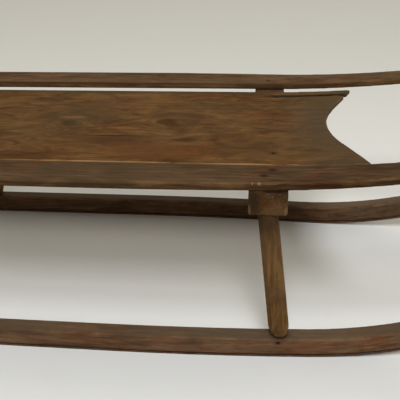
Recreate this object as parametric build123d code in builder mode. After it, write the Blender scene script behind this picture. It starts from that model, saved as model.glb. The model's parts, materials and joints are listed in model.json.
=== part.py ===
from build123d import *
from collections import namedtuple
from itertools import pairwise
from math import cos, radians, sin, sqrt, tan
import os

os.makedirs("parts", exist_ok=True)

# Child's snow sled of bent wood, sizes in millimetres.
# X runs forward, Y to the sled's left and Z up from the floor under the middle of the sled.
LENGTH = 1038.0
WIDTH = 356.0
RAIL_TOP = 261.0

# Sides that draw in toward the nose, from a place behind the front cross bar
DRAW_IN_SET = 200.0
DRAW_IN_RADIUS = 4250.0

# Side rails, level at the back and sweeping up from the front cross bar
RAIL_WIDTH = 48.0
RAIL_THICK = 10.5
RAIL_SWEEP = 1600.0
RAIL_TAPER_SET = 40.0
RAIL_TIP_WIDTH = 27.0
RAIL_TIP_LAP = 10.0
RAIL_REAR_SET = 8.0
RAIL_CORNER = 9.0
RAIL_EDGE = 1.5

# Cross bars, notched so that the deck lies lower than the rails
BAR_WIDTH = 44.0
BAR_HEIGHT = 31.5
BAR_SPACING = 472.0
BAR_EDGE = 2.0

# Deck board with a scooped edge at each end
DECK_SIDE_GAP = 14.0
DECK_THICK = 7.5
DECK_DROP = 7.0
DECK_OVERHANG = 118.0
DECK_EDGE = 1.2
SCOOP_RADIUS = 125.0
SCOOP_FLANK = 26.0

# Split along the grain at the deck's left front corner
SPLIT_IN_AT_BAR = 21.0
SPLIT_IN_AT_TIP = 14.0
SPLIT_GAPE = 3.2

# Bent runners: flat sole, long toe and upright nose, as radii and angles of the sole
RUNNER_WIDTH = 22.0
RUNNER_HEIGHT = 28.5
RUNNER_EDGE = 2.0
TOE_SET = 58.0
TOE_RADIUS = 600.0
TOE_ANGLE = 24.0
NOSE_RADIUS = 210.0
NOSE_ANGLE = 90.0
NOSE_THICK = 20.0
NOSE_TENON = 12.0

# Iron shoes under the runners
SHOE_THICK = 3.0
SHOE_SIDE_SET = 1.0

# Chamfered legs, raked away from the middle, swelling toward the foot, with a round tenon at each end
LEG_LENGTHWISE = 23.3
LEG_SWELL = 3.3
LEG_CROSSWISE = 21.5
LEG_FACET = 6.0
LEG_NECK_SHARE = 0.84
LEG_NECK_HEIGHT = 16.0
LEG_RAKE = 20.0
LEG_TENON = 14.0
LEG_TENON_LENGTH = 18.0

# Round rod that ties the runner noses together
ROD_DIAMETER = 14.0
ROD_DEPTH = 13.0
ROD_BELOW_RAIL = 40.0

# Easy fit round a tenon and a thin seat under a bent face
FIT = 0.15
SEAT = 0.2

# Places that follow from the sizes
TOE = radians(TOE_ANGLE)
TOE_REACH = TOE_RADIUS * sin(TOE)
NOSE_REACH = NOSE_RADIUS * (1 - sin(TOE))
TIP_X = LENGTH / 2
HEEL_X = -LENGTH / 2
NOSE_X = TIP_X - RAIL_TIP_LAP
LIFT_X = NOSE_X - NOSE_REACH - TOE_REACH
FRONT_BAR_X = LIFT_X - TOE_SET
REAR_BAR_X = FRONT_BAR_X - BAR_SPACING
DRAW_IN_X = FRONT_BAR_X - DRAW_IN_SET
RAIL_REAR_X = HEEL_X + RAIL_REAR_SET
RAIL_TAPER_X = FRONT_BAR_X + RAIL_TAPER_SET
BAR_TOP = RAIL_TOP - RAIL_THICK
BAR_BOTTOM = BAR_TOP - BAR_HEIGHT
DECK_HALF = WIDTH / 2 - RAIL_WIDTH - DECK_SIDE_GAP
DECK_UNDER = DECK_DROP + DECK_THICK
WOOD_SOLE = SHOE_THICK + SEAT
WOOD_TOP = SHOE_THICK + RUNNER_HEIGHT
NOSE_OUTER_X = NOSE_X - WOOD_SOLE
NOSE_INNER_X = NOSE_OUTER_X - NOSE_THICK
NOSE_START_X = NOSE_X - NOSE_REACH - WOOD_TOP * sin(TOE)
NOSE_INNER_RADIUS = (NOSE_INNER_X - NOSE_START_X) / (1 - sin(TOE))
ROD_X = NOSE_OUTER_X - NOSE_THICK / 2
ABOVE_ALL = 2 * RAIL_TOP

Bar = namedtuple("Bar", "name x rake")
BARS = (Bar("front", FRONT_BAR_X, LEG_RAKE), Bar("rear", REAR_BAR_X, -LEG_RAKE))


def rail_height(x, depth):
    """Height of the layer that lies this deep below the rails' top."""
    ahead = max(0.0, x - FRONT_BAR_X)
    return RAIL_TOP + RAIL_SWEEP - sqrt((RAIL_SWEEP + depth) ** 2 - ahead**2)


def side_y(x, inset):
    """Half width of the sled here, measured this far in from its sides."""
    ahead = max(0.0, x - DRAW_IN_X)
    return WIDTH / 2 - DRAW_IN_RADIUS + sqrt((DRAW_IN_RADIUS - inset) ** 2 - ahead**2)


def swept_layer(rear_x, front_x, upper, lower):
    """Side outline of a board that follows the rails' sweep."""
    with BuildSketch(Plane.XZ) as outline:
        with BuildLine():
            top = Line((rear_x, RAIL_TOP - upper), (FRONT_BAR_X, RAIL_TOP - upper))
            top_sweep = TangentArc(top @ 1, (front_x, rail_height(front_x, upper)), tangent=(1, 0))
            under = Line((rear_x, RAIL_TOP - lower), (FRONT_BAR_X, RAIL_TOP - lower))
            under_sweep = TangentArc(under @ 1, (front_x, rail_height(front_x, lower)), tangent=(1, 0))
            Line(top @ 0, under @ 0)
            Line(top_sweep @ 1, under_sweep @ 1)
        make_face()
    return outline.sketch


def on_top(edge, depth):
    """Whether an edge runs round the layer this deep below the rails' top."""
    level = all(abs(v.Z - rail_height(v.X, depth)) < FIT for v in edge.vertices())
    return level and abs(edge.center().X - FRONT_BAR_X) > FIT


def side_line(inset, rear_x):
    """Plan line this far in from the sled's left side, from the back to the tip."""
    straight = Line((rear_x, WIDTH / 2 - inset), (DRAW_IN_X, WIDTH / 2 - inset))
    drawn_in = TangentArc(straight @ 1, (TIP_X, side_y(TIP_X, inset)), tangent=(1, 0))
    return straight, drawn_in


def side_strip(outer_inset, inner_inset):
    """Plan outline of a runner or its shoe."""
    with BuildSketch(Plane.XY) as plan:
        with BuildLine():
            outer, outer_end = side_line(outer_inset, HEEL_X)
            inner, inner_end = side_line(inner_inset, HEEL_X)
            Line(outer @ 0, inner @ 0)
            Line(outer_end @ 1, inner_end @ 1)
        make_face()
    return plan.sketch


def sole_line(depth, nose_radius):
    """Runner line at this depth above the sole, from the heel to the top of the nose bend."""
    flat = Line((HEEL_X, depth), (LIFT_X, depth))
    toe = JernArc(flat @ 1, (1, 0), TOE_RADIUS - depth, TOE_ANGLE)
    nose = JernArc(toe @ 1, toe % 1, nose_radius, NOSE_ANGLE - TOE_ANGLE)
    return flat, nose


def leg_x(bar, z):
    """Middle of a leg at this height, along the sled."""
    return bar.x + bar.rake * (BAR_BOTTOM - z) / (BAR_BOTTOM - WOOD_TOP)


def leg_y(bar):
    """Middle of a leg across the sled, over the middle of the runner."""
    return side_y(bar.x + bar.rake, RUNNER_WIDTH / 2)


def leg_axis(bar, sign):
    """Plane across a left or right leg at mid height, square to its length."""
    middle = (BAR_BOTTOM + WOOD_TOP) / 2
    lean = (-bar.rake, 0, BAR_BOTTOM - WOOD_TOP)
    return Plane((leg_x(bar, middle), sign * leg_y(bar), middle), x_dir=(0, 1, 0), z_dir=lean)


Level = namedtuple("Level", "z lengthwise crosswise facet")
LEG_LEVELS = (
    Level(BAR_BOTTOM, LEG_LENGTHWISE, LEG_CROSSWISE, LEG_FACET),
    Level(WOOD_TOP + LEG_NECK_HEIGHT, LEG_LENGTHWISE + LEG_SWELL, LEG_CROSSWISE, LEG_FACET),
    Level(
        WOOD_TOP, LEG_LENGTHWISE * LEG_NECK_SHARE, LEG_CROSSWISE * LEG_NECK_SHARE, LEG_FACET * LEG_NECK_SHARE,
    ),
)
LEG_REACH = sqrt(LEG_RAKE**2 + (BAR_BOTTOM - WOOD_TOP) ** 2) / 2 + LEG_TENON_LENGTH
ROD_Z = rail_height(ROD_X, RAIL_THICK) - ROD_BELOW_RAIL
ROD_HALF = side_y(ROD_X, RUNNER_WIDTH) + ROD_DEPTH
NOSE_MID = side_y(ROD_X, RUNNER_WIDTH / 2)
NOSE_TENON_TOP = rail_height(ROD_X - NOSE_TENON / 2, 0)

# Cross bars, each with a notch for the deck and a blind mortise for each leg
for bar in BARS:
    with BuildPart() as cross_bar:
        with BuildSketch(Plane.XZ):
            with Locations((bar.x, BAR_TOP - BAR_HEIGHT / 2)):
                RectangleRounded(BAR_WIDTH, BAR_HEIGHT, BAR_EDGE)
        extrude(amount=side_y(bar.x, 0), both=True)
        with Locations((bar.x, 0, BAR_TOP)):
            Box(BAR_WIDTH, 2 * (DECK_HALF + SEAT), 2 * (DECK_UNDER - RAIL_THICK), mode=Mode.SUBTRACT)
        for sign in (1, -1):
            with BuildSketch(leg_axis(bar, sign)):
                Circle(LEG_TENON / 2 + FIT)
            extrude(amount=LEG_REACH + FIT, mode=Mode.SUBTRACT)
    cross_bar.part.label = f"{bar.name}_cross_bar"
    export_step(cross_bar.part, f"parts/{bar.name}_cross_bar.step")

# Deck board, one thin board let into the cross bars and cut to a scoop at both ends
FRONT_TIP_X = FRONT_BAR_X + DECK_OVERHANG
REAR_TIP_X = REAR_BAR_X - DECK_OVERHANG
FLANK = radians(SCOOP_FLANK)
BEND_Y = SCOOP_RADIUS * sin(FLANK)
BEND_IN = (DECK_HALF - BEND_Y) * tan(FLANK)
SCOOP_DEPTH = BEND_IN + SCOOP_RADIUS * (1 - cos(FLANK))
with BuildPart() as deck_board:
    add(extrude(swept_layer(REAR_TIP_X, FRONT_TIP_X, DECK_DROP, DECK_UNDER), DECK_HALF, both=True))
    with BuildSketch(Plane.XY):
        with BuildLine():
            for tip_x, inward in ((FRONT_TIP_X, -1), (REAR_TIP_X, 1)):
                bend_x = tip_x + inward * BEND_IN
                scoop_x = tip_x + inward * SCOOP_DEPTH
                Line((tip_x, DECK_HALF), (bend_x, BEND_Y))
                ThreePointArc((bend_x, BEND_Y), (scoop_x, 0), (bend_x, -BEND_Y))
                Line((bend_x, -BEND_Y), (tip_x, -DECK_HALF))
            for edge_y in (DECK_HALF, -DECK_HALF):
                Line((REAR_TIP_X, edge_y), (FRONT_TIP_X, edge_y))
        make_face()
    extrude(amount=ABOVE_ALL, mode=Mode.INTERSECT)
    chamfer(deck_board.edges().filter_by(lambda e: on_top(e, DECK_DROP)), DECK_EDGE)
    with BuildSketch(Plane.XY):
        with BuildLine():
            Polyline(
                (FRONT_BAR_X, DECK_HALF - SPLIT_IN_AT_BAR),
                (FRONT_TIP_X, DECK_HALF - SPLIT_IN_AT_TIP),
                (FRONT_TIP_X, DECK_HALF - SPLIT_IN_AT_TIP - SPLIT_GAPE),
                close=True,
            )
        make_face()
    extrude(amount=ABOVE_ALL, mode=Mode.SUBTRACT)
deck_board.part.label = "deck_board"
export_step(deck_board.part, "parts/deck_board.step")

# Side rails, drawn in on the outer edge and tapered on the inner edge toward the tip
RAIL_INNER_Y = WIDTH / 2 - RAIL_WIDTH
RAIL_TIP_INNER_Y = side_y(TIP_X, 0) - RAIL_TIP_WIDTH
with BuildPart() as left_rail:
    add(extrude(swept_layer(RAIL_REAR_X, TIP_X, 0, RAIL_THICK), WIDTH / 2, both=True))
    with BuildSketch(Plane.XY) as plan:
        with BuildLine():
            outer, outer_end = side_line(0, RAIL_REAR_X)
            inner = Line((RAIL_REAR_X, RAIL_INNER_Y), (RAIL_TAPER_X, RAIL_INNER_Y))
            inner_end = TangentArc(inner @ 1, (TIP_X, RAIL_TIP_INNER_Y), tangent=(1, 0))
            Line(outer @ 0, inner @ 0)
            Line(outer_end @ 1, inner_end @ 1)
        make_face()
        ends = plan.vertices().group_by(Axis.X)
        fillet(ends[0] + ends[-1], RAIL_CORNER)
    extrude(amount=ABOVE_ALL, mode=Mode.INTERSECT)
    chamfer(left_rail.edges().filter_by(lambda e: on_top(e, 0) or on_top(e, RAIL_THICK)), RAIL_EDGE)
    with BuildSketch(Plane.XY):
        with Locations((ROD_X, NOSE_MID)):
            Circle(NOSE_TENON / 2 + FIT)
    extrude(amount=ABOVE_ALL, mode=Mode.SUBTRACT)

# Runners, bent from one strip, thinner up the nose and tenoned through the rail at the tip
with BuildPart() as left_runner:
    with BuildSketch(Plane.XZ):
        with BuildLine():
            sole_flat, sole_nose = sole_line(WOOD_SOLE, NOSE_RADIUS - WOOD_SOLE)
            top_flat, top_nose = sole_line(WOOD_TOP, NOSE_INNER_RADIUS)
            front = Line(sole_nose @ 1, (NOSE_OUTER_X, rail_height(NOSE_OUTER_X, RAIL_THICK) - SEAT))
            back = Line(top_nose @ 1, (NOSE_INNER_X, rail_height(NOSE_INNER_X, RAIL_THICK) - SEAT))
            Line(front @ 1, back @ 1)
            Line(sole_flat @ 0, top_flat @ 0)
        make_face()
    extrude(amount=WIDTH / 2, both=True)
    extrude(side_strip(0, RUNNER_WIDTH), amount=ABOVE_ALL, mode=Mode.INTERSECT)
    chamfer(left_runner.edges().filter_by(lambda e: e.length > RUNNER_HEIGHT + RUNNER_WIDTH), RUNNER_EDGE)
    with BuildSketch(Plane.XY.offset(ROD_Z)):
        with Locations((ROD_X, NOSE_MID)):
            Circle(NOSE_TENON / 2)
    extrude(amount=NOSE_TENON_TOP - ROD_Z)
    with BuildSketch(Plane.XZ):
        with Locations((ROD_X, ROD_Z)):
            Circle(ROD_DIAMETER / 2 + FIT)
    extrude(amount=-ROD_HALF - FIT, mode=Mode.SUBTRACT)
    for bar in BARS:
        with BuildSketch(leg_axis(bar, 1)):
            Circle(LEG_TENON / 2 + FIT)
        extrude(amount=-LEG_REACH - FIT, mode=Mode.SUBTRACT)

# Iron shoes, strips laid along the soles and up the bend of the nose
with BuildPart() as left_runner_shoe:
    with BuildSketch(Plane.XZ):
        with BuildLine():
            ground_flat, ground_nose = sole_line(0, NOSE_RADIUS)
            iron_flat, iron_nose = sole_line(SHOE_THICK, NOSE_RADIUS - SHOE_THICK)
            Line(ground_nose @ 1, iron_nose @ 1)
            Line(ground_flat @ 0, iron_flat @ 0)
        make_face()
    extrude(amount=WIDTH / 2, both=True)
    strip = side_strip(SHOE_SIDE_SET, RUNNER_WIDTH - SHOE_SIDE_SET)
    extrude(strip, amount=ABOVE_ALL, mode=Mode.INTERSECT)

# Legs, chamfered posts necked in above the runner, tenoned into the runner and the cross bar
left_legs = {}
for bar in BARS:
    with BuildPart() as leg:
        for stretch in pairwise(LEG_LEVELS):
            for level in stretch:
                with BuildSketch(Plane.XY.offset(level.z)) as section:
                    with Locations((leg_x(bar, level.z), leg_y(bar))):
                        Rectangle(level.lengthwise, level.crosswise)
                    chamfer(section.vertices(), level.facet)
            loft()
        with BuildSketch(Plane.XZ):
            with BuildLine():
                floor_flat, floor_nose = sole_line(0, NOSE_RADIUS)
                seat_flat, seat_nose = sole_line(WOOD_TOP + SEAT, NOSE_INNER_RADIUS)
                Line(floor_nose @ 1, seat_nose @ 1)
                Line(floor_flat @ 0, seat_flat @ 0)
            make_face()
        extrude(amount=WIDTH, both=True, mode=Mode.SUBTRACT)
        with BuildSketch(leg_axis(bar, 1)):
            Circle(LEG_TENON / 2)
        extrude(amount=LEG_REACH, both=True)
    left_legs[bar.name] = leg

# Each left piece and its mirror image on the right
Pair = namedtuple("Pair", "left_name right_name piece")
PAIRS = (
    Pair("left_rail", "right_rail", left_rail),
    Pair("left_runner", "right_runner", left_runner),
    Pair("left_runner_shoe", "right_runner_shoe", left_runner_shoe),
    Pair("front_left_leg", "front_right_leg", left_legs["front"]),
    Pair("rear_left_leg", "rear_right_leg", left_legs["rear"]),
)
for pair in PAIRS:
    pair.piece.part.label = pair.left_name
    export_step(pair.piece.part, f"parts/{pair.left_name}.step")
    with BuildPart() as twin:
        mirror(pair.piece.part, about=Plane.XZ)
    twin.part.label = pair.right_name
    export_step(twin.part, f"parts/{pair.right_name}.step")

# Tie rod between the noses, let into the runners at both ends
with BuildPart() as front_tie_rod:
    with BuildSketch(Plane.XZ):
        with Locations((ROD_X, ROD_Z)):
            Circle(ROD_DIAMETER / 2)
    extrude(amount=ROD_HALF, both=True)
front_tie_rod.part.label = "front_tie_rod"
export_step(front_tie_rod.part, "parts/front_tie_rod.step")
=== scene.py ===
import json
from math import atan2, ceil, cos, hypot, pi, radians, sin

import bpy
from mathutils import Matrix, Vector
from mathutils.kdtree import KDTree

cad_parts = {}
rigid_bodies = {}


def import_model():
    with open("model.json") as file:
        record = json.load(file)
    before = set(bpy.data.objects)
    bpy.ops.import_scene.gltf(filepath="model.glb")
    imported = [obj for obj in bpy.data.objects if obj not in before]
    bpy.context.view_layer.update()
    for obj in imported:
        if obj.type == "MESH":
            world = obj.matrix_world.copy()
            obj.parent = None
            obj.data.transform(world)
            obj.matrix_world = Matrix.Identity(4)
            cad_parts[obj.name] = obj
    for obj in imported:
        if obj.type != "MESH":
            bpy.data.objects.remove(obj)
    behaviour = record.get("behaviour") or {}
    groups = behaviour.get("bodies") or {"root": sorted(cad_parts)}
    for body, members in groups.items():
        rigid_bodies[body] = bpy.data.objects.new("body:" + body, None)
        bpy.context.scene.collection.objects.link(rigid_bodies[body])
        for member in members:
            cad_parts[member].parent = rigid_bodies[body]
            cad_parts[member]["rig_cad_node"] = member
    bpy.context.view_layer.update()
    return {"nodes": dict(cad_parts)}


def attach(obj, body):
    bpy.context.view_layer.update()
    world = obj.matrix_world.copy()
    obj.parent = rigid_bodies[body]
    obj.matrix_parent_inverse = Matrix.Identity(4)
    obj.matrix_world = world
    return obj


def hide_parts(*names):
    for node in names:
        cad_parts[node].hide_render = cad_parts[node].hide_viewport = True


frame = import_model()

# Runners: two strips of ash, steamed and bent up at the nose in one sweep.
# Each is mortised for its legs and stands on edge; years of snow have rubbed
# the arrises round and left the wood dark, with a paler line where it rubs.
SIDES = {"left": 1, "right": -1}
SEAM = 0.00002
ARRIS_TURN = radians(30)
RUB_REACH = 0.0026
RUB_SOFTNESS = 0.5
DENT_SHARE = 0.5
HOLLOW_SIZE = 1.0
DENT_SIZE = 0.3
LUMP_FOLDS = 2
SOUND_LEVEL = 0.7
RUNNER_WEAR = {"skin": 0.0019, "rounding": 4, "hollow": 0.0009, "ripple": (0.12, 0.02, 0.02)}
LIFT_X = 0.14037
TOE_RADIUS = 0.6
TOE_TURN = radians(24)
NOSE_RADIUS = 0.21
NOSE_TURN = radians(90)
NOSE_X = LIFT_X + (TOE_RADIUS - NOSE_RADIUS) * sin(TOE_TURN)
NOSE_Z = TOE_RADIUS - (TOE_RADIUS - NOSE_RADIUS) * cos(TOE_TURN)
TOE_END = LIFT_X + TOE_RADIUS * TOE_TURN
NOSE_END = TOE_END + NOSE_RADIUS * (NOSE_TURN - TOE_TURN)


def pick(piece):
    """Selects one piece alone and makes it the active one."""
    bpy.ops.object.select_all(action="DESELECT")
    piece.select_set(True)
    bpy.context.view_layer.objects.active = piece


def sawn_copy(node):
    """A copy of a sawn piece, as one closed skin."""
    pick(frame["nodes"][node])
    bpy.ops.object.duplicate()
    copied = bpy.context.object
    copied.name = copied.data.name = "worn_" + node
    del copied["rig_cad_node"]
    bpy.ops.object.mode_set(mode="EDIT")
    bpy.ops.mesh.select_all(action="SELECT")
    bpy.ops.mesh.remove_doubles(threshold=SEAM)
    bpy.ops.object.mode_set(mode="OBJECT")
    return copied


def reshape(piece, name, kind, **settings):
    """Puts a modifier with its settings on the active piece and applies it."""
    made = piece.modifiers.new(name, kind)
    for setting, value in settings.items():
        setattr(made, setting, value)
    bpy.ops.object.modifier_apply(modifier=name)


def wear(worn, skin, rounding, hollow, ripple):
    """Wears a piece as years of use do: arrises rubbed round, faces hollowed along the grain."""
    bpy.ops.object.mode_set(mode="EDIT")
    bpy.ops.mesh.select_mode(type="EDGE")
    bpy.ops.mesh.select_all(action="DESELECT")
    bpy.ops.mesh.edges_select_sharp(sharpness=ARRIS_TURN)
    bpy.ops.object.mode_set(mode="OBJECT")
    arris = []
    for edge in worn.data.edges:
        if edge.select:
            start, end = (worn.data.vertices[number].co for number in edge.vertices)
            steps = ceil((end - start).length / skin)
            arris += [start.lerp(end, step / steps) for step in range(steps + 1)]
    nearest = KDTree(len(arris))
    for number, point in enumerate(arris):
        nearest.insert(point, number)
    nearest.balance()
    reshape(worn, "even skin", "REMESH", mode="VOXEL", voxel_size=skin)
    reshape(worn, "rubbed arrises", "SMOOTH", factor=RUB_SOFTNESS, iterations=rounding)
    rub = worn.data.attributes.new("rub", "FLOAT", "POINT")
    for point, mark in zip(worn.data.vertices, rub.data):
        mark.value = max(0, 1 - nearest.find(point.co)[2] / RUB_REACH)
    bpy.ops.object.empty_add(scale=ripple)
    along_grain = bpy.context.object
    pick(worn)
    for name, depth, size in (
        ("long hollows", hollow, HOLLOW_SIZE), ("small dents", hollow * DENT_SHARE, DENT_SIZE),
    ):
        lumps = bpy.data.textures.new(f"{worn.name} {name}", "CLOUDS")
        lumps.noise_scale = size
        lumps.noise_depth = LUMP_FOLDS
        reshape(
            worn, name, "DISPLACE", texture=lumps, texture_coords="OBJECT",
            texture_coords_object=along_grain, strength=depth, mid_level=SOUND_LEVEL,
        )
    bpy.data.objects.remove(along_grain)
    bpy.ops.object.shade_smooth()
    return worn


def follow_bend(piece):
    """Marks the points of a bent strip with their way along it, across it and up from its sole."""
    grain = piece.data.attributes.new("grain", "FLOAT_VECTOR", "POINT")
    for point, mark in zip(piece.data.vertices, grain.data):
        x, y, z = point.co
        along, up = x, z
        toe_angle = atan2(x - LIFT_X, TOE_RADIUS - z)
        nose_angle = atan2(x - NOSE_X, NOSE_Z - z)
        if nose_angle > NOSE_TURN:
            along, up = NOSE_END + z - NOSE_Z, NOSE_X + NOSE_RADIUS - x
        elif nose_angle > TOE_TURN:
            along = TOE_END + NOSE_RADIUS * (nose_angle - TOE_TURN)
            up = NOSE_RADIUS - hypot(x - NOSE_X, NOSE_Z - z)
        elif toe_angle > 0:
            along = LIFT_X + TOE_RADIUS * toe_angle
            up = TOE_RADIUS - hypot(x - LIFT_X, TOE_RADIUS - z)
        mark.vector = (along, y, up)


def coat(piece, finish):
    """Gives a piece one finish all over."""
    piece.data.materials.clear()
    piece.data.materials.append(finish)


def place(piece, finish, slot, *nodes):
    """Finishes a piece and fixes it to the sled in the stead of its sawn shape."""
    coat(piece, finish)
    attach(piece, "root")
    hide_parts(*nodes)


def bare_finish(name):
    """A new finish, with its tree, its shader and the places on the piece."""
    finish = bpy.data.materials.new(name)
    finish.use_nodes = True
    tree = finish.node_tree
    where = tree.nodes.new("ShaderNodeTexCoord").outputs["Object"]
    return finish, tree, tree.nodes["Principled BSDF"], where


def fill(tree, made, sockets):
    """Puts values or links on the sockets of one node of a finish."""
    for socket, value in sockets.items():
        if isinstance(value, bpy.types.NodeSocket):
            tree.links.new(value, made.inputs[socket])
        else:
            made.inputs[socket].default_value = value


def put(tree, kind, sockets, **settings):
    """One node of a finish, with its settings and its sockets filled."""
    made = tree.nodes.new(kind)
    for setting, value in settings.items():
        setattr(made, setting, value)
    fill(tree, made, sockets)
    return made.outputs[0]


def marked(tree, name):
    """What wearing or bending has marked on the points of a piece."""
    return put(tree, "ShaderNodeAttribute", {}, attribute_name=name).node.outputs


def axes_of(tree, vector):
    """The three parts of a place or a direction."""
    return put(tree, "ShaderNodeSeparateXYZ", {0: vector}).node.outputs


def stretched(tree, vector, size, shift=(0, 0, 0), turn=(0, 0, 0)):
    """Places on a piece, moved, turned and stretched."""
    sockets = {"Vector": vector, "Location": shift, "Rotation": turn, "Scale": size}
    return put(tree, "ShaderNodeMapping", sockets)


def speckle(tree, vector, size, detail, rough, twist=0.0, shift=(0, 0, 0)):
    """Irregular light and dark, from 0 to 1."""
    sockets = {
        "Vector": stretched(tree, vector, size, shift), "Scale": 1.0,
        "Detail": detail, "Roughness": rough, "Distortion": twist,
    }
    return put(tree, "ShaderNodeTexNoise", sockets)


def span(tree, value, low, high, to_low=0.0, to_high=1.0):
    """A value spread from one range over another, with soft ends."""
    sockets = {
        "Value": value, "From Min": low, "From Max": high, "To Min": to_low, "To Max": to_high,
    }
    return put(tree, "ShaderNodeMapRange", sockets, interpolation_type="SMOOTHSTEP")


def reckon(tree, operation, first, second=0.0):
    """One step of reckoning with one or two values."""
    return put(tree, "ShaderNodeMath", {0: first, 1: second}, operation=operation)


def times(tree, first, second):
    """The product of two values."""
    return reckon(tree, "MULTIPLY", first, second)


def weighed(tree, *parts):
    """The sum of several values, each times its weight."""
    total = 0.0
    for value, weight in parts:
        sockets = {0: value, 1: weight, 2: total}
        total = put(tree, "ShaderNodeMath", sockets, operation="MULTIPLY_ADD")
    return total


def tint(tree, share, under, over, way="MIX"):
    """One colour laid over another by a share."""
    made = tree.nodes.new("ShaderNodeMix")
    made.data_type = "RGBA"
    made.blend_type = way
    under, over = (
        colour if isinstance(colour, bpy.types.NodeSocket) else (*colour, 1)
        for colour in (under, over)
    )
    fill(tree, made, {0: share, 6: under, 7: over})
    return made.outputs[2]


def bands(tree, value, stops):
    """Colours along a value."""
    made = tree.nodes.new("ShaderNodeValToRGB")
    tree.links.new(value, made.inputs[0])
    ramp = made.color_ramp
    while len(ramp.elements) < len(stops):
        ramp.elements.new(0.5)
    for element, (at, colour) in zip(ramp.elements, stops):
        element.position = at
        element.color = (*colour, 1)
    return made.outputs[0]


def relief(tree, height, strength, deep):
    """Fine relief, too small for the mesh."""
    sockets = {"Height": height, "Strength": strength, "Distance": deep}
    return put(tree, "ShaderNodeBump", sockets)


def about(tree, where, at, size):
    """Places as seen from a spot, with 1 at the spot's edge."""
    shift = [-middle / reach for middle, reach in zip(at, size)]
    return stretched(tree, where, [1 / reach for reach in size], shift)


def nearness(tree, around):
    """1 in the middle of a spot, 0 from its edge outward."""
    return put(tree, "ShaderNodeTexGradient", {"Vector": around}, gradient_type="SPHERICAL")


RING_STRETCH = (0.2, 1, 1)
RING_TILT = (0, 0.03, 0.02)
WAVE_LENGTH = pi / 10
WANDER_SHARE = 0.26
KNOT_PARTING = 0.85
KNOT_TURNS = 22
KNOT_WAVER = 30
KNOT_DARK = 0.55
WARM_CAST = (1.16, 0.86, 0.76)
COOL_CAST = (0.74, 0.86, 0.82)
CAST_SHARE = 0.8
END_DIRT = 0.3
END_RINGS = 0.2
RING_SHADE = 0.6
RAGGED = 0.9
WOOD_SHEEN = 0.03


def part_round(tree, fibre, around, near, width):
    """The grain, led past a knot on both sides."""
    aside = {0: around, 1: (0, -KNOT_PARTING * width, 0)}
    aside = put(tree, "ShaderNodeVectorMath", aside, operation="MULTIPLY")
    aside = {0: aside, 3: span(tree, near, 0, 1)}
    aside = put(tree, "ShaderNodeVectorMath", aside, operation="SCALE")
    return put(tree, "ShaderNodeVectorMath", {0: fibre, 1: aside}, operation="ADD")


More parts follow.
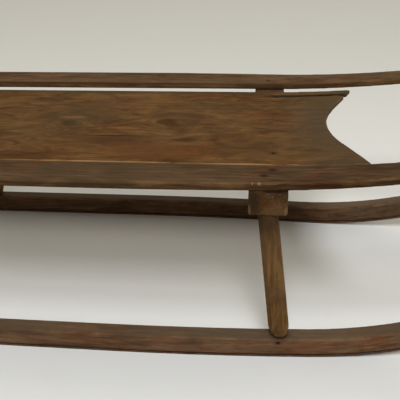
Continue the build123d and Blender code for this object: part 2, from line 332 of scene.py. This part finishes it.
def old_wood(
    name, tones, worn, dirt, dust, light=1.0, turn=(0, 0, 0), heart=(0, 0, 0), ring_gap=0.006,
    ring_twist=2.6, bent=False, ends=None, knots=(), marks=(), settle=(0.1, 0.4),
    rub_share=0.8, grain=0.38, blotch=(18, 62, 62),
):
    """Old brown wood: year rings about a heart, figure, streaks and pores along the grain,
    grain that parts round knots, dirt, dust on what faces up, dark end grain, rubbed arrises
    and local marks."""
    # light scales every tone, to paint light and shade onto copies of one wood.
    dark, mid, pale = ([part * light for part in tone] for tone in tones)
    wood, tree, shader, where = bare_finish(name)
    fibre = marked(tree, "grain")["Vector"] if bent else where
    fibre = stretched(tree, fibre, (1, 1, 1), turn=turn)
    swirls = []
    for at, size in knots:
        around = about(tree, where, at, size)
        swirls.append(nearness(tree, around))
        fibre = part_round(tree, fibre, around, swirls[-1], size[1])

    wander = speckle(tree, fibre, (4, 13, 13), detail=3, rough=0.5, twist=0.6)
    figure = speckle(tree, fibre, blotch, detail=6, rough=0.66, twist=1.1, shift=(0.7, 0.2, 0.4))
    streaks = speckle(tree, fibre, (20, 330, 330), detail=4, rough=0.65, twist=0.2)
    pores = speckle(tree, fibre, (60, 1100, 1100), detail=2, rough=0.6)
    soil = speckle(
        tree, where, (11, 24, 24), detail=5, rough=0.62, twist=0.6, shift=(2.3, 1.7, 3.1),
    )
    cast = speckle(
        tree, where, (12, 22, 22), detail=3, rough=0.55, twist=0.8, shift=(5.1, 0.3, 1.9),
    )
    ring_sockets = {
        "Vector": stretched(tree, fibre, RING_STRETCH, heart, RING_TILT),
        "Scale": WAVE_LENGTH / ring_gap, "Distortion": ring_twist,
        "Detail": 2.0, "Detail Scale": 0.6, "Detail Roughness": 0.6,
    }
    rings = put(
        tree, "ShaderNodeTexWave", ring_sockets, wave_type="RINGS", rings_direction="X",
    )

    tone = weighed(
        tree, (figure, 1 - WANDER_SHARE - grain), (wander, WANDER_SHARE), (streaks, grain),
    )
    colour = bands(tree, tone, ((0.41, dark), (0.50, mid), (0.60, pale)))
    colour = tint(tree, span(tree, rings, 0.55, 0.98, to_high=0.3), colour, dark)
    colour = tint(tree, span(tree, pores, 0.54, 0.7, to_high=0.45), colour, dark)
    for near in swirls:
        turns = weighed(tree, (near, KNOT_TURNS), (figure, KNOT_WAVER))
        swirl = span(tree, reckon(tree, "SINE", turns), 0.0, 1.0, to_high=KNOT_DARK)
        colour = tint(tree, times(tree, swirl, span(tree, near, 0.05, 0.6)), colour, dark)
    warm = span(tree, cast, 0.54, 0.72, to_high=CAST_SHARE)
    colour = tint(tree, warm, colour, WARM_CAST, "MULTIPLY")
    cool = span(tree, cast, 0.46, 0.28, to_high=CAST_SHARE)
    colour = tint(tree, cool, colour, COOL_CAST, "MULTIPLY")
    colour = tint(tree, span(tree, soil, 0.45, 0.72, to_high=0.6), colour, dirt)

    facing = axes_of(tree, tree.nodes.new("ShaderNodeNewGeometry").outputs["Normal"])
    if ends:
        end = span(tree, reckon(tree, "ABSOLUTE", facing[ends]), 0.75, 0.95)
        colour = tint(tree, times(tree, end, END_DIRT), colour, dirt)
        ringed = times(tree, end, span(tree, rings, 0.45, 1.0, to_high=END_RINGS))
        colour = tint(tree, ringed, colour, [part * RING_SHADE for part in dark])
    lying = span(tree, facing["Z"], 0.6, 0.98)
    settled = times(tree, lying, span(tree, wander, 0.3, 0.65, *settle))
    colour = tint(tree, settled, colour, dust)
    uneven = weighed(tree, (soil, 1.3), (streaks, 0.5))
    rubbed = reckon(tree, "SUBTRACT", marked(tree, "rub")["Fac"], uneven)
    rubbed = span(tree, rubbed, -0.38, 0.08, to_high=rub_share)
    rubbed = times(tree, rubbed, span(tree, facing["Z"], -0.3, 0.35))
    colour = tint(tree, rubbed, colour, worn)
    edge = weighed(tree, (figure, RAGGED), (streaks, RAGGED))
    for at, size, shade, share in marks:
        near = nearness(tree, about(tree, where, at, size))
        ragged = span(tree, reckon(tree, "ADD", near, edge), 0.9, 1.6)
        ragged = times(tree, ragged, span(tree, near, 0.0, 0.12))
        colour = tint(tree, times(tree, ragged, share), colour, shade)

    height = weighed(tree, (streaks, 0.7), (pores, -0.5), (rings, -0.15))
    fill(tree, shader, {
        "Base Color": colour,
        "Roughness": span(tree, soil, 0.3, 0.75, to_low=0.6, to_high=0.85),
        "Specular IOR Level": WOOD_SHEEN,
        "Normal": relief(tree, height, strength=0.5, deep=0.001),
    })
    return wood


RUNNER_COLOURS = {
    "tones": ((0.0626, 0.032, 0.0157), (0.106, 0.0572, 0.0297), (0.152, 0.0883, 0.0493)),
    "worn": (0.19, 0.105, 0.05),
    "dirt": (0.062, 0.041, 0.024),
    "dust": (0.072, 0.053, 0.034),
}
# The far (left) runner is painted darker and the near (right) runner lighter: painted shade and
# painted light on copies of one ash.
RUNNER_PAINTED_LIGHT = {"left": 0.84, "right": 1.26}
# Darker where the legs stand in the runners: dirt and painted shade in the joint.
FOOT_DIRT_AND_SHADE = (0.02, 0.012, 0.007)
FOOT_X = (0.1024, -0.4096)
FOOT_Y = (0.161, 0.167, -0.161, -0.167)
FOOT_Z = 0.0315
RUNNER_MARKS = [
    ((x, y, FOOT_Z), (0.018, 0.015, 0.008), FOOT_DIRT_AND_SHADE, 0.45) for x in FOOT_X for y in FOOT_Y
]
RUNNER_MARKS += (
    ((0.135, -0.168, 0.018), (0.05, 0.03, 0.014), (0.16, 0.066, 0.034), 0.5),
    ((0.1009, -0.178, 0.025), (0.011, 0.012, 0.0065), (0.03, 0.018, 0.01), 0.6),
    # A pale patch on the far runner's nose: painted light where it comes out of the deck's shadow.
    ((0.3, 0.165, 0.08), (0.2, 0.05, 0.15), (0.122, 0.079, 0.047), 0.7),
)
runners = {}
for side in SIDES:
    runners[side] = wear(sawn_copy(f"{side}_runner"), **RUNNER_WEAR)
    follow_bend(runners[side])
    runner_wood = old_wood(
        f"{side} runner ash", **RUNNER_COLOURS, light=RUNNER_PAINTED_LIGHT[side], bent=True,
        heart=(0, 0.09, 0.05), marks=RUNNER_MARKS, settle=(0.35, 0.75),
    )
    place(runners[side], runner_wood, "runner_wood", f"{side}_runner")

# Runner shoes: flat iron strips nailed under the runners and up the bend of the
# nose. The iron is bare grey, dark with scale and brown with rust in patches.
SHOE_BARE = (0.16, 0.15, 0.14)
SHOE_DARK = (0.035, 0.028, 0.024)
SHOE_RUST = (0.13, 0.055, 0.022)
shoe_iron, tree, shader, where = bare_finish("rusty shoe iron")
scale_marks = speckle(tree, where, (60, 260, 260), detail=6, rough=0.7)
bloom = speckle(tree, where, (22, 60, 60), detail=5, rough=0.6, shift=(1.1, 0.4, 2.0))
crusted = bands(tree, scale_marks, ((0.3, SHOE_DARK), (0.55, SHOE_RUST), (0.8, SHOE_BARE)))
fill(tree, shader, {
    "Base Color": tint(tree, span(tree, bloom, 0.4, 0.7, to_high=0.8), crusted, SHOE_DARK),
    "Roughness": span(tree, scale_marks, 0.3, 0.8, to_low=0.8, to_high=0.45),
    "Metallic": span(tree, bloom, 0.3, 0.7, to_low=0.9, to_high=0.25),
    "Normal": relief(tree, scale_marks, strength=0.6, deep=0.0006),
})
for side in SIDES:
    coat(frame["nodes"][f"{side}_runner_shoe"], shoe_iron)

# Legs: four ash posts with their corners taken off, necked in above the runner and
# tenoned into it and into the cross bar. They lean away from the sled's middle.
LEG_WEAR = {"skin": 0.0012, "rounding": 5, "hollow": 0.0008, "ripple": (0.015, 0.015, 0.1)}
LEG_COLOURS = {
    "tones": ((0.066, 0.0322, 0.0102), (0.12, 0.0608, 0.0208), (0.166, 0.092, 0.0365)),
    "worn": (0.18, 0.112, 0.058),
    "dirt": (0.077, 0.0475, 0.0255),
    "dust": (0.12, 0.085, 0.05),
}
ALL_OVER = 9
# The legs are darker at the top, under the cross bars, and at the foot: dirt and painted shade.
LEG_MARKS = (
    ((0, 0, 0.224), (ALL_OVER, ALL_OVER, 0.05), (0.036, 0.02, 0.0095), 0.85),
    ((0, 0, 0.032), (ALL_OVER, ALL_OVER, 0.005), FOOT_DIRT_AND_SHADE, 0.7),
)
leg_wood = old_wood(
    "leg ash", **LEG_COLOURS, turn=(0, pi / 2, 0), heart=(0, 0.19, 0.07), marks=LEG_MARKS,
    grain=0.2,
)
for which in ("front", "rear"):
    for side in SIDES:
        leg_name = f"{which}_{side}_leg"
        place(wear(sawn_copy(leg_name), **LEG_WEAR), leg_wood, "leg_wood", leg_name)

# Cross bars: two squared bolsters across the sled, cut from a young stem, so
# that year rings show round the heart on their ends. Notched for the deck.
BAR_WEAR = {"skin": 0.0016, "rounding": 4, "hollow": 0.0008, "ripple": (0.02, 0.12, 0.02)}
BAR_COLOURS = {
    "tones": ((0.034, 0.0145, 0.0048), (0.08, 0.037, 0.0135), (0.14, 0.071, 0.028)),
    "worn": (0.18, 0.105, 0.055),
    "dirt": (0.045, 0.026, 0.013),
    "dust": (0.09, 0.06, 0.036),
}
BAR_X = {"front": 0.08237, "rear": -0.38963}
BAR_END_Y = {"front": 0.1733, "rear": 0.178}
HEART_AHEAD = 0.0066
HEART_Z = 0.232
MARK_DEEP = 0.02
BAR_END_MARKS = (
    (-0.0165, 0.238, 0.011, 0.026, (0.026, 0.0145, 0.008), 0.9),
    (0.007, 0.228, 0.018, 0.02, (0.13, 0.07, 0.027), 0.45),
    (-0.001, 0.236, 0.012, 0.009, (0.06, 0.021, 0.0075), 0.6),
    (-0.0215, 0.225, 0.0032, 0.012, (0.13, 0.085, 0.05), 0.65),
    (0.0205, 0.223, 0.0035, 0.014, (0.14, 0.088, 0.05), 0.65),
    # A black line along the top of each end: painted shadow of the gap under the rail.
    (0.008, 0.2499, 0.026, 0.0022, (0.008, 0.005, 0.0035), 0.9),
)
for which, bar_x in BAR_X.items():
    bar_name = f"{which}_cross_bar"
    bar_marks = [
        ((bar_x + ahead, end_y, z), (wide, MARK_DEEP, high), shade, share)
        for end_y in (-BAR_END_Y[which], BAR_END_Y[which])
        for ahead, z, wide, high, shade, share in BAR_END_MARKS
    ]
    bar_wood = old_wood(
        f"{which} bar wood", **BAR_COLOURS, turn=(0, 0, -pi / 2),
        heart=(0, bar_x + HEART_AHEAD, -HEART_Z), ring_gap=0.004, ring_twist=5.0, ends="Y",
        marks=bar_marks,
    )
    place(wear(sawn_copy(bar_name), **BAR_WEAR), bar_wood, "bar_wood", bar_name)

# Deck: one wide board of old pine let into the cross bars and nailed down,
# scooped at both ends. Worn bright on its edges, split along the grain in front.
DECK_WEAR = {"skin": 0.0019, "rounding": 4, "hollow": 0.0010, "ripple": (0.2, 0.02, 0.02)}
DECK_COLOURS = {
    "tones": ((0.036, 0.014, 0.0034), (0.088, 0.038, 0.0093), (0.155, 0.073, 0.0185)),
    "worn": (0.28, 0.155, 0.065),
    "dirt": (0.054, 0.033, 0.0135),
    "dust": (0.083, 0.047, 0.0175),
}
DECK_TOP = 0.254
DECK_KNOTS = (
    ((-0.189, -0.007, DECK_TOP), (0.075, 0.055, 0.05)),
    ((-0.044, -0.002, DECK_TOP), (0.065, 0.045, 0.05)),
)
DECK_NAILS = (
    (BAR_X["front"] + 0.0055, -0.088), (BAR_X["front"] + 0.0089, 0.0935),
    (BAR_X["rear"] - 0.0055, 0.088), (BAR_X["rear"] - 0.0089, -0.0935),
)
DECK_MARKS = [
    ((-0.189, -0.007, DECK_TOP), (0.016, 0.013, MARK_DEEP), (0.022, 0.016, 0.006), 0.7),
    ((-0.18, 0.02, DECK_TOP), (0.075, 0.045, MARK_DEEP), (0.052, 0.032, 0.014), 0.36),
    ((-0.19, 0.012, DECK_TOP), (0.026, 0.007, MARK_DEEP), (0.16, 0.08, 0.04), 0.5),
    ((-0.026, 0.01, DECK_TOP), (0.026, 0.027, MARK_DEEP), (0.048, 0.024, 0.0115), 0.5),
    ((-0.055, 0.002, DECK_TOP), (0.018, 0.014, MARK_DEEP), (0.03, 0.008, 0.0005), 0.74),
    ((-0.043, -0.013, DECK_TOP), (0.017, 0.014, MARK_DEEP), (0.034, 0.012, 0.002), 0.52),
    ((-0.03, -0.028, DECK_TOP), (0.016, 0.013, MARK_DEEP), (0.038, 0.015, 0.003), 0.4),
    ((-0.02, -0.054, DECK_TOP), (0.015, 0.011, MARK_DEEP), (0.034, 0.012, 0.002), 0.55),
    ((-0.008, -0.037, DECK_TOP), (0.026, 0.004, MARK_DEEP), (0.15, 0.085, 0.043), 0.25),
    ((-0.112, -0.06, DECK_TOP), (0.065, 0.017, MARK_DEEP), (0.038, 0.016, 0.0055), 0.6),
    ((-0.117, -0.0455, DECK_TOP), (0.065, 0.0025, MARK_DEEP), (0.02, 0.01, 0.004), 0.9),
    ((-0.06, -0.088, DECK_TOP), (0.09, 0.035, MARK_DEEP), (0.09, 0.032, 0.008), 0.55),
    ((-0.3, -0.116, DECK_TOP), (0.11, 0.012, MARK_DEEP), (0.08, 0.036, 0.01), 0.6),
    ((-0.15, 0.112, DECK_TOP), (0.6, 0.012, MARK_DEEP), (0.05, 0.033, 0.019), 0.6),
    ((0.05, -0.072, DECK_TOP), (0.065, 0.034, MARK_DEEP), (0.056, 0.025, 0.008), 0.5),
    ((0.2, 0, DECK_TOP), (0.12, 0.17, 0.05), (0.06, 0.041, 0.022), 0.85),
    ((0.203, 0.106, 0.257), (0.026, 0.018, MARK_DEEP), (0.05, 0.034, 0.02), 0.8),
    ((0.14, 0.107, DECK_TOP), (0.07, 0.008, MARK_DEEP), (0.12, 0.068, 0.031), 0.5),
    ((0.16, -0.115, 0.256), (0.06, 0.012, MARK_DEEP), (0.055, 0.037, 0.02), 0.8),
]
# Dark along the split: dirt in the crack and painted shade in its gap.
SPLIT_DIRT_AND_SHADE = (0.012, 0.007, 0.004)
SPLIT_SPOTS = ((0.105, 0.0962, DECK_TOP), (0.14, 0.0976, 0.255), (0.178, 0.0992, 0.256))
DECK_MARKS += [(spot, (0.045, 0.006, MARK_DEEP), SPLIT_DIRT_AND_SHADE, 0.9) for spot in SPLIT_SPOTS]
IRON_STAIN = (0.02, 0.0125, 0.007)
STAIN_SIZE = (0.008, 0.006, MARK_DEEP)
DECK_MARKS += [((x, y, DECK_TOP), STAIN_SIZE, IRON_STAIN, 0.45) for x, y in DECK_NAILS]
SPLIT_START = Vector((0.084, 0.0955, DECK_TOP))
SPLIT_END = Vector((0.205, 0.1005, 0.257))
SPLIT_GAPE = 0.006
SPLIT_DEPTH = 0.024
SPLIT_FINE = 0.35
BREAK_START = Vector((0.174, 0.0985, 0.256))
BREAK_END = Vector((0.207, 0.094, 0.257))
BREAK_WIDE = 0.014
BREAK_FINE = 0
CREASE_TURN = radians(50)


def cut(piece, tool):
    """Takes the tool's shape out of a piece and throws the tool away."""
    pick(piece)
    reshape(piece, "cut", "BOOLEAN", operation="DIFFERENCE", solver="EXACT", object=tool)
    bpy.ops.object.shade_smooth_by_angle(angle=CREASE_TURN)
    bpy.data.objects.remove(tool)


deck = sawn_copy("deck_board")
for start, end, gape, fine in (
    (SPLIT_START, SPLIT_END, SPLIT_GAPE, SPLIT_FINE),
    (BREAK_START, BREAK_END, BREAK_WIDE, BREAK_FINE),
):
    run = end - start
    bpy.ops.mesh.primitive_cone_add(
        vertices=4, radius1=1, radius2=fine, depth=1, location=(start + end) / 2,
        rotation=(0, -pi / 2, atan2(run.y, run.x)), scale=(SPLIT_DEPTH, gape / 2, run.length),
    )
    cut(deck, bpy.context.object)
wear(deck, **DECK_WEAR)
deck_wood = old_wood(
    "deck pine", **DECK_COLOURS, heart=(0, -0.02, -0.18), ring_gap=0.005, ends="X",
    knots=DECK_KNOTS, marks=DECK_MARKS, settle=(0.0, 0.35), rub_share=0.95, grain=0.16,
    blotch=(22, 54, 54),
)
place(deck, deck_wood, "deck_wood", "deck_board")

# Side rails: thin boards along both sides, nailed on the cross bars and lapped
# over the runners' noses. Weathered greyer than the deck, rubbed on the outside.
RAIL_WEAR = {"skin": 0.0016, "rounding": 4, "hollow": 0.0009, "ripple": (0.2, 0.02, 0.02)}
RAIL_COLOURS = {
    "tones": ((0.03, 0.0142, 0.0053), (0.066, 0.0343, 0.0138), (0.108, 0.061, 0.027)),
    "worn": (0.17, 0.096, 0.045),
    "dirt": (0.05, 0.034, 0.019),
    "dust": (0.068, 0.0422, 0.0207),
}
# The far (left) rail is painted lighter than the near (right) one: painted light on a copy of one
# wood.
RAIL_PAINTED_LIGHT = {"left": 1.6, "right": 1.0}
RAIL_RUB = {"left": 0.3, "right": 0.5}
RAIL_TOP = 0.261
RAIL_NAILS = (
    (BAR_X["front"] + 0.0041, -0.1428), (BAR_X["front"] - 0.0053, -0.156),
    (BAR_X["front"] - 0.0023, 0.1437),
    (BAR_X["rear"] - 0.0041, -0.1428), (BAR_X["rear"] + 0.0053, -0.156),
    (BAR_X["rear"] + 0.0023, 0.1437),
)
RAIL_CHIPS = ((0.0646, -0.1742, 0.0021, 0.5), (0.0722, -0.1735, 0.0027, 0.8))
CHIP_OUT = 0.001
CHIP_Z = 0.2618
CHIP_MARK_Z = 0.2603
CHIP_WOOD = (0.22, 0.14, 0.075)
RAIL_MARKS = [
    ((-0.2, 0.1295, 0.2598), (0.5, 0.0035, 0.0025), (0.022, 0.011, 0.005), 0.8),
]
RAIL_MARKS += [
    ((x, y, CHIP_MARK_Z), (reach, 0.004, 0.003), CHIP_WOOD, share)
    for x, y, reach, share in RAIL_CHIPS
]
RAIL_MARKS += [
    ((x, y, RAIL_TOP), STAIN_SIZE, IRON_STAIN, 0.7) for x, y in RAIL_NAILS if y < 0
]
rails = {}
for side in SIDES:
    rails[side] = wear(sawn_copy(f"{side}_rail"), **RAIL_WEAR)
    rail_wood = old_wood(
        f"{side} rail wood", **RAIL_COLOURS, light=RAIL_PAINTED_LIGHT[side], heart=(0, 0.05, -0.2),
        ends="X", marks=RAIL_MARKS, settle=(0.1, 0.45), rub_share=RAIL_RUB[side],
    )
    place(rails[side], rail_wood, "rail_wood", f"{side}_rail")
for x, y, reach, _ in RAIL_CHIPS:
    bpy.ops.mesh.primitive_ico_sphere_add(
        subdivisions=2, radius=reach, location=(x, y - CHIP_OUT, CHIP_Z),
    )
    cut(rails["right"], bpy.context.object)

# Tie rod: a turned ash dowel let into the noses, which keeps them apart and
# takes the pull when the sled is drawn.
ROD_WEAR = {"skin": 0.0012, "rounding": 3, "hollow": 0.0005, "ripple": (0.02, 0.12, 0.02)}
rod_wood = old_wood(
    "rod wood", **LEG_COLOURS, turn=(0, 0, -pi / 2), heart=(0, 0.494, -0.2645),
)
rod = wear(sawn_copy("front_tie_rod"), **ROD_WEAR)
place(rod, rod_wood, "rod_wood", "front_tie_rod")

# Nails: cut iron nails with rough flat heads hold the deck and the rails down on
# the cross bars, pin each leg's tenon in its runner and hold the shoes to the noses.
NAIL_SHANK = 0.0014
NAIL_LENGTH = 0.016
NAIL_SIDES = 12
HEAD_SPREAD = 2.2
HEAD_TAPER = 0.82
HEAD_THICK = 0.0011
NAIL_PROUD = 0.00015
FACES_UP = 0.9
RUNNER_PINS = ((0.1009, 0.025), (-0.4081, 0.025))
SHOE_NAIL_TURNS = (radians(40), radians(58), radians(76))
bpy.ops.mesh.primitive_cylinder_add(
    vertices=NAIL_SIDES, radius=NAIL_SHANK, depth=NAIL_LENGTH,
    location=(0, 0, -NAIL_LENGTH / 2 - HEAD_THICK),
)
nail = bpy.context.object
bpy.ops.object.transform_apply()
bpy.ops.object.mode_set(mode="EDIT")
bpy.ops.mesh.select_mode(type="FACE")
bpy.ops.mesh.select_all(action="DESELECT")
bpy.ops.object.mode_set(mode="OBJECT")
for face in nail.data.polygons:
    face.select = face.normal.z > FACES_UP
bpy.ops.object.mode_set(mode="EDIT")
bpy.ops.mesh.extrude_region_move()
bpy.ops.transform.resize(
    value=(HEAD_SPREAD, HEAD_SPREAD, 1), center_override=(0, 0, -HEAD_THICK),
)
bpy.ops.mesh.extrude_region_move(TRANSFORM_OT_translate={"value": (0, 0, HEAD_THICK)})
bpy.ops.transform.resize(value=(HEAD_TAPER, HEAD_TAPER, 1), center_override=(0, 0, 0))
bpy.ops.object.mode_set(mode="OBJECT")
NAIL_IRON = (0.015, 0.0098, 0.0056)
NAIL_RUST = (0.036, 0.017, 0.008)
nail_iron, tree, shader, where = bare_finish("black nail iron")
crust = speckle(tree, where, (700, 700, 700), detail=4, rough=0.7)
fill(tree, shader, {
    "Base Color": bands(tree, crust, ((0.4, NAIL_IRON), (0.7, NAIL_RUST))),
    "Roughness": 0.85,
    "Specular IOR Level": 0.04,
    "Normal": relief(tree, crust, strength=0.6, deep=0.0004),
})
coat(nail, nail_iron)
bpy.context.view_layer.update()


def drive(piece, start, aim, name):
    """A nail driven into a piece where the line from start along aim meets it."""
    _, spot, out, _ = piece.ray_cast(start, aim)
    pick(nail)
    bpy.ops.object.duplicate()
    driven = bpy.context.object
    driven.name = driven.data.name = name
    driven.rotation_euler = out.to_track_quat("Z", "Y").to_euler()
    driven.location = spot + out * NAIL_PROUD
    bpy.ops.object.transform_apply()
    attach(driven, "root")


DOWN = (0, 0, -1)
ABOVE_Z = 0.4
BESIDE_Y = 0.3
OUTSIDE_BEND = 1.1
for number, (x, y) in enumerate(DECK_NAILS, 1):
    drive(deck, (x, y, ABOVE_Z), DOWN, f"deck_nail_{number}")
for number, (x, y) in enumerate(RAIL_NAILS, 1):
    drive(rails["left" if y > 0 else "right"], (x, y, ABOVE_Z), DOWN, f"rail_nail_{number}")
for side, outward in SIDES.items():
    for number, (x, z) in enumerate(RUNNER_PINS, 1):
        start, aim = (x, outward * BESIDE_Y, z), (0, -outward, 0)
        drive(runners[side], start, aim, f"{side}_tenon_pin_{number}")
    shoe = frame["nodes"][f"{side}_runner_shoe"]
    bend_x = NOSE_X + NOSE_RADIUS / 2
    bend_y = [point.co.y for point in shoe.data.vertices if point.co.x > bend_x]
    middle = Vector((NOSE_X, sum(bend_y) / len(bend_y), NOSE_Z))
    for number, turn in enumerate(SHOE_NAIL_TURNS, 1):
        out = Vector((sin(turn), 0, -cos(turn)))
        start = middle + out * NOSE_RADIUS * OUTSIDE_BEND
        drive(shoe, start, -out, f"{side}_shoe_nail_{number}")
bpy.data.objects.remove(nail)

# Studio: a pale seamless paper floor under a broad soft light that comes from above
# and from the camera's side, with the camera where the picture was taken.
FLOOR_SIZE = 160
# The paper darkens from near to far: painted shade for the light falling off towards the back.
FLOOR_NEAR = (0.665, 0.67, 0.665)
FLOOR_FAR_SHADE = (0.575, 0.575, 0.555)
FLOOR_NEAR_Y = -0.4
FLOOR_FAR_Y = 1.4
PAPER_MOTTLE = (0.4, 0.38, 0.34)
bpy.ops.mesh.primitive_plane_add(size=FLOOR_SIZE)
floor = bpy.context.object
floor.name = "studio_floor"
paper, tree, shader, where = bare_finish("studio paper")
painted_falloff = span(tree, axes_of(tree, where)["Y"], FLOOR_NEAR_Y, FLOOR_FAR_Y)
mottle = speckle(tree, where, (14, 14, 14), detail=4, rough=0.6)
mottle = span(tree, mottle, 0.5, 0.8, to_high=0.06)
fill(tree, shader, {
    "Base Color": tint(tree, mottle, tint(tree, painted_falloff, FLOOR_NEAR, FLOOR_FAR_SHADE), PAPER_MOTTLE),
    "Roughness": 0.9,
    "Specular IOR Level": 0.1,
})
coat(floor, paper)

LAMP_PLACE = Vector((0.15, -1.62, 3.05))
LAMP_AIM = Vector((0, 0.05, 0.1))
LAMP_WIDE = 0.8
LAMP_LONG = 1.4
LAMP_POWER = 87
LAMP_COLOUR = (0.955, 0.98, 1.0)
bpy.ops.object.light_add(type="AREA", location=LAMP_PLACE)
lamp = bpy.context.object
lamp.name = "soft_box"
lamp.data.shape = "RECTANGLE"
lamp.data.size = LAMP_WIDE
lamp.data.size_y = LAMP_LONG
lamp.data.energy = LAMP_POWER
lamp.data.color = LAMP_COLOUR
lamp.rotation_mode = "QUATERNION"
lamp.rotation_quaternion = (LAMP_AIM - LAMP_PLACE).to_track_quat("-Z", "Y")

ROOM_COLOUR = (1.04, 0.97, 0.83)
ROOM_GLOW = 0.34
WALL_GLOW = 2.3
WALL_TOP = (0.25, 0.75)
WALL_TURN = (-0.2, 0.5)
WALL_SIDE = 0.6
world = bpy.data.worlds.new("studio light")
bpy.context.scene.world = world
world.use_nodes = True
tree = world.node_tree
toward = axes_of(tree, tree.nodes.new("ShaderNodeTexCoord").outputs["Generated"])
low = span(tree, toward["Z"], *WALL_TOP, to_low=WALL_GLOW, to_high=0.0)
behind = weighed(tree, (toward["X"], WALL_SIDE), (toward["Y"], 1.0))
wall = times(tree, low, span(tree, behind, *WALL_TURN))
room = tree.nodes["Background"]
fill(tree, room, {
    "Color": (*ROOM_COLOUR, 1), "Strength": reckon(tree, "ADD", wall, ROOM_GLOW),
})
seen = tree.nodes.new("ShaderNodeLightPath").outputs
plain = reckon(tree, "MAXIMUM", seen["Is Camera Ray"], seen["Is Glossy Ray"])
plain = reckon(tree, "MAXIMUM", plain, seen["Is Transmission Ray"])
backdrop = put(tree, "ShaderNodeBackground", {"Color": (*FLOOR_FAR_SHADE, 1)})
mixed = put(tree, "ShaderNodeMixShader", {0: plain, 1: room.outputs[0], 2: backdrop})
fill(tree, tree.nodes["World Output"], {"Surface": mixed})

CAMERA_PLACE = (0.07617, -0.73883, 0.58437)
DOWNWARD = radians(31.332)
SIDEWAYS = radians(-6.96)
ROLL = radians(-2.063)
LENS = 54
FILM_WIDTH = 36
NEAREST_SEEN = 0.02
bpy.ops.object.camera_add()
camera = bpy.context.object
camera.name = "picture_camera"
camera.data.lens = LENS
camera.data.sensor_width = FILM_WIDTH
camera.data.clip_start = NEAREST_SEEN
camera.matrix_world = (
    Matrix.Translation(CAMERA_PLACE)
    @ Matrix.Rotation(-SIDEWAYS, 4, "Z")
    @ Matrix.Rotation(pi / 2 - DOWNWARD, 4, "X")
    @ Matrix.Rotation(ROLL, 4, "Z")
)
bpy.context.scene.camera = camera
bpy.context.scene.view_settings.view_transform = "Standard"
